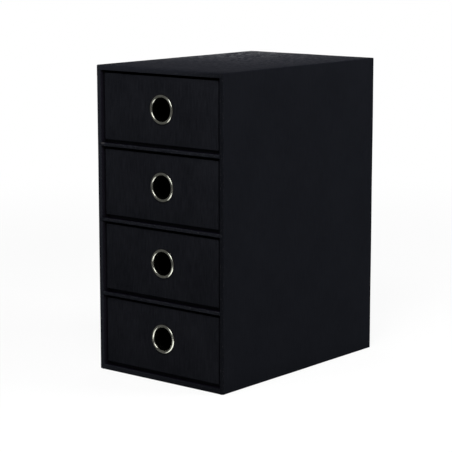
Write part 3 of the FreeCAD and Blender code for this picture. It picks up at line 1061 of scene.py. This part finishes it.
def makeTrayLining():
    # paper folded into the tray, lapped over the turned-in cloth
    wall = drawer["wall"] + trayLining["proud"]
    low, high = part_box("drawer_1_tray_lining")
    bottom, top = low.z + trayLining["thickness"], high.z + trayLining["lap"]
    side, front, rear = trayHigh.x - wall, trayLow.y + wall, trayHigh.y - wall
    piece = addBlock("drawer1TrayLining", (-side, front, bottom), (side, rear, top))
    bpy.ops.mesh.flip_normals()
    remove(lambda p: near(p.z, top))

    def corner(p):
        atEnd = p.y < trayLow.y + trayLining["endReach"] or p.y > trayHigh.y - trayLining["endReach"]
        return near(abs(p.x), side) and atEnd

    roundEdges(lambda p: near(p.z, bottom), trayLining["floorRound"], 3)
    roundEdges(corner, trayLining["cornerRound"], 2)
    thicken(piece, trayLining["thickness"])
    punch(piece)
    smooth(piece)
    return piece


def makeRing():
    # bead, barrel and rolled end, spun as one strip of metal
    freshStart()
    front = faceLow.y
    place = (ringMiddle.x + ring["beadRadius"], front, ringMiddle.z)
    bpy.ops.mesh.primitive_circle_add(vertices=ring["beadSides"], radius=ring["beadTube"], location=place)
    piece = bpy.context.object
    piece.name = piece.data.name = "drawer1Ring"
    bpy.ops.object.transform_apply(location=True, rotation=True, scale=True)
    bpy.ops.object.mode_set(mode="EDIT")
    pick("VERT", lambda p: p.y > front + hair)
    bpy.ops.mesh.delete(type="VERT")
    bore = ringMiddle.x + ring["beadRadius"] - ring["beadTube"]
    pick("VERT", lambda p: near(p.x, bore))
    end = ringHigh.y + ring["proud"]
    bpy.ops.mesh.extrude_vertices_move(TRANSFORM_OT_translate={"value": (0, end - front, 0)})
    radius = ring["rollRadius"]
    for step in range(1, ring["rollSteps"] + 1):  # rolled outwards over the lining
        before, after = (math.pi * (part / ring["rollSteps"]) for part in (step - 1, step))
        outward = radius * (math.cos(before) - math.cos(after))
        move = (outward, radius * (math.sin(after) - math.sin(before)), 0)
        bpy.ops.mesh.extrude_vertices_move(TRANSFORM_OT_translate={"value": move})
    bpy.ops.mesh.select_all(action="SELECT")
    middle = (ringMiddle.x, 0, ringMiddle.z)
    bpy.ops.mesh.spin(steps=ring["turns"], angle=2 * math.pi, center=middle, axis=(0, 1, 0))
    bpy.ops.mesh.select_all(action="SELECT")
    bpy.ops.mesh.remove_doubles(threshold=hair)
    bpy.ops.mesh.normals_make_consistent(inside=False)
    thicken(piece, ring["metal"])
    smooth(piece, 60)
    return piece


def makeDrawer():
    return {
        "FaceCloth": (makeFaceCloth(), drawerMaterial, "drawer_cloth", ["face_cover"]),
        "TrayCloth": (makeTrayCloth(), drawerMaterial, "drawer_cloth", ["tray_cover"]),
        "TrayLining": (makeTrayLining(), paperMaterial, "lining_paper", ["tray_lining"]),
        "Ring": (makeRing(), ringMaterial, "ring_metal", ["ring"]),
    }


parts = makeDrawer()
for number in range(bayCount, 0, -1):
    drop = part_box(f"drawer_{number}_face_cover")[0] - faceLow
    for label, (first, material, slot, nodes) in parts.items():
        piece = first
        if number > 1:
            piece = first.copy()
            piece.data = first.data.copy()
            bpy.context.collection.objects.link(piece)
            piece.name = piece.data.name = f"drawer{number}{label}"
            piece.data.transform(Matrix.Translation(drop))
        if "Cloth" in label:
            layThreads(piece, uprightThreads)
        dress(piece, material, f"drawer_{number}", [f"drawer_{number}_{node}" for node in nodes])
print("drawers made")

for name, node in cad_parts.items():
    if name.endswith("_board"):
        node.material_slots[0].material = boardMaterial


# studio

studio = {
    "cameraPlace": (1.117, -1.373, 0.452),
    "cameraAzimuth": 39.56,
    "cameraElevation": 9.93,
    "cameraRoll": -0.06,
    "lens": 136.35,
    "floorSize": 60,
    "floorHeight": -0.0002,
    "floorGlow": 0.86,
    "glowSpread": (0.35, 1.4),  # from the object outwards
    "ambient": 0.26,
    "floorPaint": (0.45, 0.95),  # as it lights the object, and as the camera sees it
}
lampAim = (0, 0, 0.16)
lamps = {  # whether they light the object, and whether it mirrors them
    "keyBox": {
        "place": (0.66, -1.44, 1.28), "size": (1.0, 1.3), "power": 19,
        "lights": False, "shines": True,
    },
    "frontTop": {
        "place": (0.14, -0.55, 0.84), "size": (0.6, 0.4), "power": 4.0,
        "lights": True, "shines": False,
    },
    "rightFront": {
        "place": (0.81, -1.25, 1.50), "size": (0.7, 0.7), "power": 15.2,
        "lights": True, "shines": False,
    },
    "rightFill": {
        "place": (0.90, 0.56, 0.73), "size": (0.6, 0.6), "power": 9.4,
        "lights": True, "shines": False,
    },
    "leftFill": {
        "place": (-1.60, -1.10, 0.66), "size": (1.0, 1.4), "power": 5,
        "lights": True, "shines": False,
    },
    "rearTop": {
        "place": (-0.26, 0.32, 0.80), "size": (0.3, 0.3), "power": 0.5,
        "lights": True, "shines": False,
    },
}
cards = {  # only mirrored in metal and in the sheen of the cloth
    "darkRoom": {
        "radius": 2.7, "height": 4.2, "sides": 48, "glow": 0.16,
        "openAt": (0, 0.3, 0), "openTowards": (0.15, 1, 0),  # the side of the backdrop
    },
    "darkFloor": {"place": (0, -1.3635, 0.0004), "size": (5.2, 2.473), "glow": 0.16},
    "reflector": {"place": (0.074, -0.3155, 0.0008), "size": (0.172, 0.369), "glow": 2.6},
}


def seenRays(wire):
    # 1 for what the camera sees, straight or mirrored, and 0 for what lights the object
    ray = wire.node("LightPath", None, None, "Is Camera Ray")
    return ray.top(ray.out("Is Glossy Ray")).top(ray.out("Is Transmission Ray"))


def makeFloor():
    freshStart()
    bpy.ops.mesh.primitive_plane_add(size=studio["floorSize"], location=(0, 0, studio["floorHeight"]))
    floor = bpy.context.object
    floor.name = "studioFloor"
    material, wire = newMaterial("studioFloor")
    seen = seenRays(wire)
    shade, seenShade = ((grey, grey, grey, 1) for grey in studio["floorPaint"])
    paint = wire.node("BsdfDiffuse", None, {"Color": seen.mix(shade, seenShade)})
    glow = wire.node("Emission", None, {"Color": white, "Strength": 1.0})
    x, y = wire.ownPlace().axes()[:2]
    away = x.math("SQRT", x * x + y * y).ramp(*studio["glowSpread"])
    share = studio["floorGlow"] + away * (1 - studio["floorGlow"])
    mixed = wire.node("MixShader", None, {0: seen * share, 1: paint, 2: glow})
    wire.node("OutputMaterial", None, {"Surface": mixed})
    floor.data.materials.append(material)


def makeWorld():
    world = bpy.data.worlds.new("studio")
    bpy.context.scene.world = world
    world.use_nodes = True
    world.node_tree.nodes.clear()
    wire = Wire(world.node_tree)
    seen = seenRays(wire)
    strength = seen * (1 - studio["ambient"]) + studio["ambient"]
    sky = wire.node("Background", None, {"Color": white, "Strength": strength})
    wire.node("OutputWorld", None, {"Surface": sky})


def makeLamp(name, settings):
    place = Vector(settings["place"])
    bpy.ops.object.light_add(type="AREA", location=place)
    lamp = bpy.context.object
    lamp.name = name
    lamp.data.shape = "RECTANGLE"
    lamp.data.size, lamp.data.size_y = settings["size"]
    lamp.data.energy = settings["power"]
    lamp.rotation_euler = (place - Vector(lampAim)).to_track_quat("Z", "Y").to_euler()
    lamp.visible_camera = False
    lamp.visible_glossy, lamp.visible_diffuse = settings["shines"], settings["lights"]


def finishCard(card, name, glow):
    card.name = card.data.name = name
    material, wire = newMaterial(name)
    paint = wire.node("Emission", None, {"Color": white, "Strength": glow})
    wire.node("OutputMaterial", None, {"Surface": paint})
    card.data.materials.append(material)
    card.visible_camera = card.visible_diffuse = card.visible_shadow = False
    card.visible_transmission = card.visible_volume_scatter = False


def makeCards():
    room = cards["darkRoom"]
    bpy.ops.mesh.primitive_cylinder_add(
        vertices=room["sides"], radius=room["radius"], depth=room["height"], end_fill_type="TRIFAN",
        location=(0, 0, room["height"] / 2),
    )
    bpy.ops.object.mode_set(mode="EDIT")
    bpy.ops.mesh.select_all(action="SELECT")
    bpy.ops.mesh.bisect(plane_co=room["openAt"], plane_no=room["openTowards"], clear_outer=True)
    remove(lambda p: p.z < -room["height"] / 2 + 0.001)
    bpy.ops.object.mode_set(mode="OBJECT")
    finishCard(bpy.context.object, "darkRoom", room["glow"])
    for name in ("darkFloor", "reflector"):
        flat = cards[name]
        bpy.ops.mesh.primitive_plane_add(size=1, location=flat["place"])
        bpy.context.object.scale = (*flat["size"], 1)
        finishCard(bpy.context.object, name, flat["glow"])


def makeCamera():
    tilt, azimuth = math.radians(90 - studio["cameraElevation"]), math.radians(studio["cameraAzimuth"])
    bpy.ops.object.camera_add(location=studio["cameraPlace"], rotation=(tilt, 0, azimuth))
    camera = bpy.context.object
    camera.rotation_euler.rotate_axis("Z", math.radians(studio["cameraRoll"]))
    camera.data.sensor_width = 36
    camera.data.lens = studio["lens"]
    camera.data.clip_end = 200
    bpy.context.scene.camera = camera


freshStart()
makeFloor()
makeWorld()
makeCards()
for name, settings in lamps.items():
    makeLamp(name, settings)
makeCamera()
bpy.context.scene.view_settings.view_transform = "Standard"
print("studio set")
